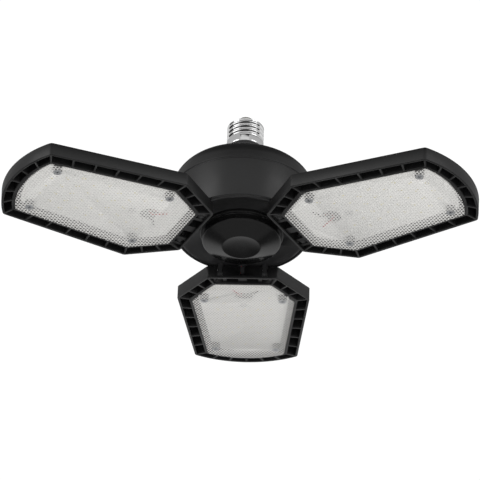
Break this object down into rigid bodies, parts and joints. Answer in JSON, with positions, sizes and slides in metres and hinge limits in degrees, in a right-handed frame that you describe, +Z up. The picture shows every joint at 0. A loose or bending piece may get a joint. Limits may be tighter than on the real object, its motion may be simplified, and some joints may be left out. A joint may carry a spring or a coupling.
{
  "type": "deformable garage light",
  "caption": "Screw-in ceiling work light: a round black hub with a screw cap on top and flat leaf-shaped LED panels hinged under its edge, each free to fold up a little or right down.",
  "frame": {"origin": "on the lamp's axis, in the plane of the foot of the metal screw shell, where the lamp holder's mouth ends", "axes": "+Z up along the axis out of the screw cap towards the holder; -Y towards the gap between the left and right panels, which faces the viewer of the picture; +X to the picture's right"},
  "size_m": [0.3184, 0.2866, 0.121],
  "materials": {
    "contact_metal": "plain pressed metal",
    "insulator": "smooth",
    "shell_metal": "bright nickel plating",
    "cover_black": "satin, light moulded grain",
    "housing_black": "satin, light moulded grain",
    "plate_black": "satin",
    "trim_black": "semi-gloss",
    "steel": "zinc plated",
    "screw_steel": "zinc plated",
    "circuit_board": "solder mask",
    "ferrite": "dull sintered",
    "winding_tape": "tape",
    "capacitor_sleeve": "heat-shrunk sleeve",
    "film_case": "smooth",
    "copper_wire": "enamelled",
    "chip_black": "moulded",
    "resistor_body": "lacquered",
    "wire_brown": "smooth",
    "wire_white": "smooth",
    "wire_red": "smooth",
    "wire_black": "smooth",
    "bush_rubber": "soft",
    "frame_black": "die-cast, black satin powder coat",
    "led_board_white": "white solder mask on aluminium",
    "led_yellow": "silicone filled",
    "lens_clear": "clear, with small prism cells",
    "washer_black": "nylon, plain"
  },
  "bodies": {
    "hub": {"centre_contact": "contact_metal", "contact_insulator": "insulator", "screw_shell": "shell_metal", "neck": "cover_black", "top_cover": "cover_black", "housing": "housing_black", "hinge_plate": "plate_black", "centre_cover": "trim_black", "case_screws": "steel", "driver_board": "circuit_board", "driver_screws": "steel", "transformer_core": "ferrite", "transformer_winding": "winding_tape", "bulk_capacitors": "capacitor_sleeve", "film_capacitor": "film_case", "line_choke": "copper_wire", "bridge_rectifier": "chip_black", "switching_transistor": "chip_black", "fuse_resistor": "resistor_body", "live_wire": "wire_brown", "neutral_wire": "wire_white", "red_output_leads": "wire_red", "black_output_leads": "wire_black", "lead_bushes": "bush_rubber"},
    "back_panel": {"back_frame": "frame_black", "back_led_board": "led_board_white", "back_leds": "led_yellow", "back_lens": "lens_clear", "back_lens_screws": "screw_steel", "back_board_screw": "screw_steel", "back_pivot_pins": "steel", "back_friction_washers": "washer_black", "back_red_lead": "wire_red", "back_black_lead": "wire_black"},
    "left_panel": {"left_frame": "frame_black", "left_led_board": "led_board_white", "left_leds": "led_yellow", "left_lens": "lens_clear", "left_lens_screws": "screw_steel", "left_board_screw": "screw_steel", "left_pivot_pins": "steel", "left_friction_washers": "washer_black", "left_red_lead": "wire_red", "left_black_lead": "wire_black"},
    "right_panel": {"right_frame": "frame_black", "right_led_board": "led_board_white", "right_leds": "led_yellow", "right_lens": "lens_clear", "right_lens_screws": "screw_steel", "right_board_screw": "screw_steel", "right_pivot_pins": "steel", "right_friction_washers": "washer_black", "right_red_lead": "wire_red", "right_black_lead": "wire_black"}
  },
  "joints": [
    {"name": "back_fold", "type": "hinge", "parent": "hub", "child": "back_panel", "pos_m": [0, 0.0395, -0.07955], "axis": [-1, 0, 0], "range_deg": [-3, 97]},
    {"name": "left_fold", "type": "hinge", "parent": "hub", "child": "left_panel", "pos_m": [-0.03421, -0.01975, -0.07955], "axis": [0.5, -0.866, 0], "range_deg": [-13.8, 86.2]},
    {"name": "right_fold", "type": "hinge", "parent": "hub", "child": "right_panel", "pos_m": [0.03421, -0.01975, -0.07955], "axis": [0.5, 0.866, 0], "range_deg": [-13.8, 86.2]}
  ]
}
